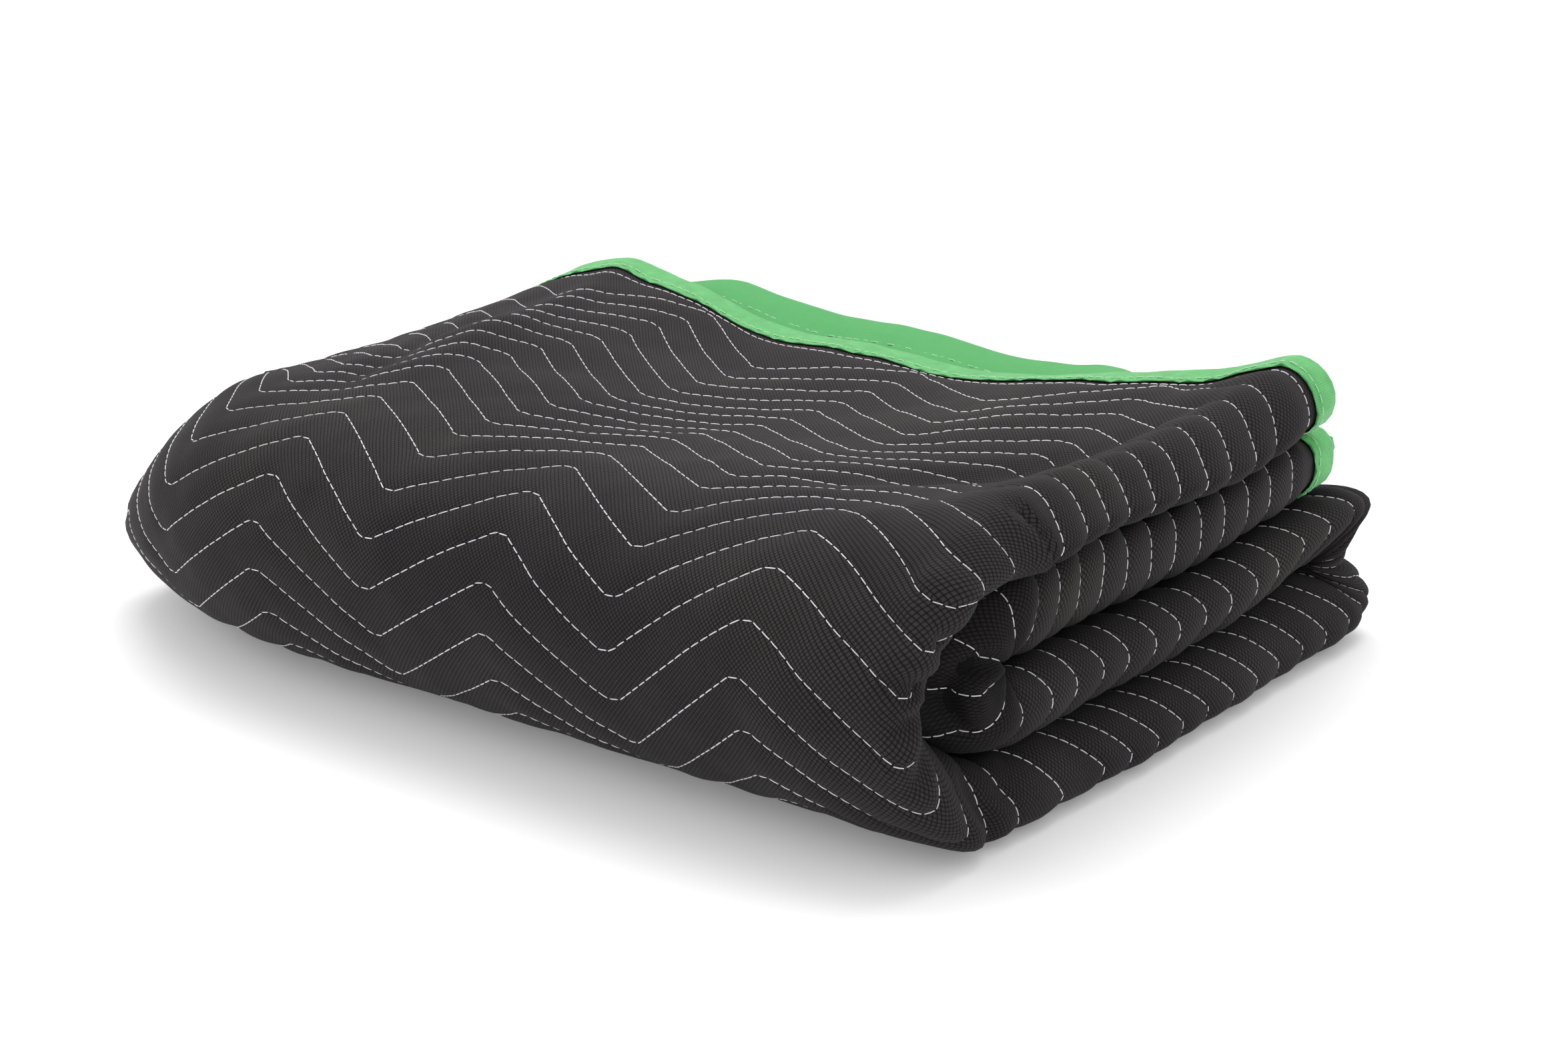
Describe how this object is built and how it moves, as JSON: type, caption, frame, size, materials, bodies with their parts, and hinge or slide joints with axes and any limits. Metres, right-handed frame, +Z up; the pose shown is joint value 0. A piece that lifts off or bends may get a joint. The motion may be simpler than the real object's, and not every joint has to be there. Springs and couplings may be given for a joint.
{
  "type": "folded moving pad",
  "caption": "Quilted moving pad of charcoal cloth with a green bound edge, folded in half twice each way into a thick soft stack.",
  "frame": {"origin": "middle of the stack's box, on the surface that it lies on", "axes": "+X along the front fold, towards the end that shows the rounded folds; +Y from the front fold to the bound open ends; +Z up"},
  "size_m": [0.4756, 0.3715, 0.1328],
  "materials": {
    "charcoal_cloth": "matte, non-woven, embossed",
    "green_tape": "matte woven tape"
  },
  "bodies": {
    "root": {"pad": "charcoal_cloth", "binding": "green_tape"}
  },
  "joints": []
}
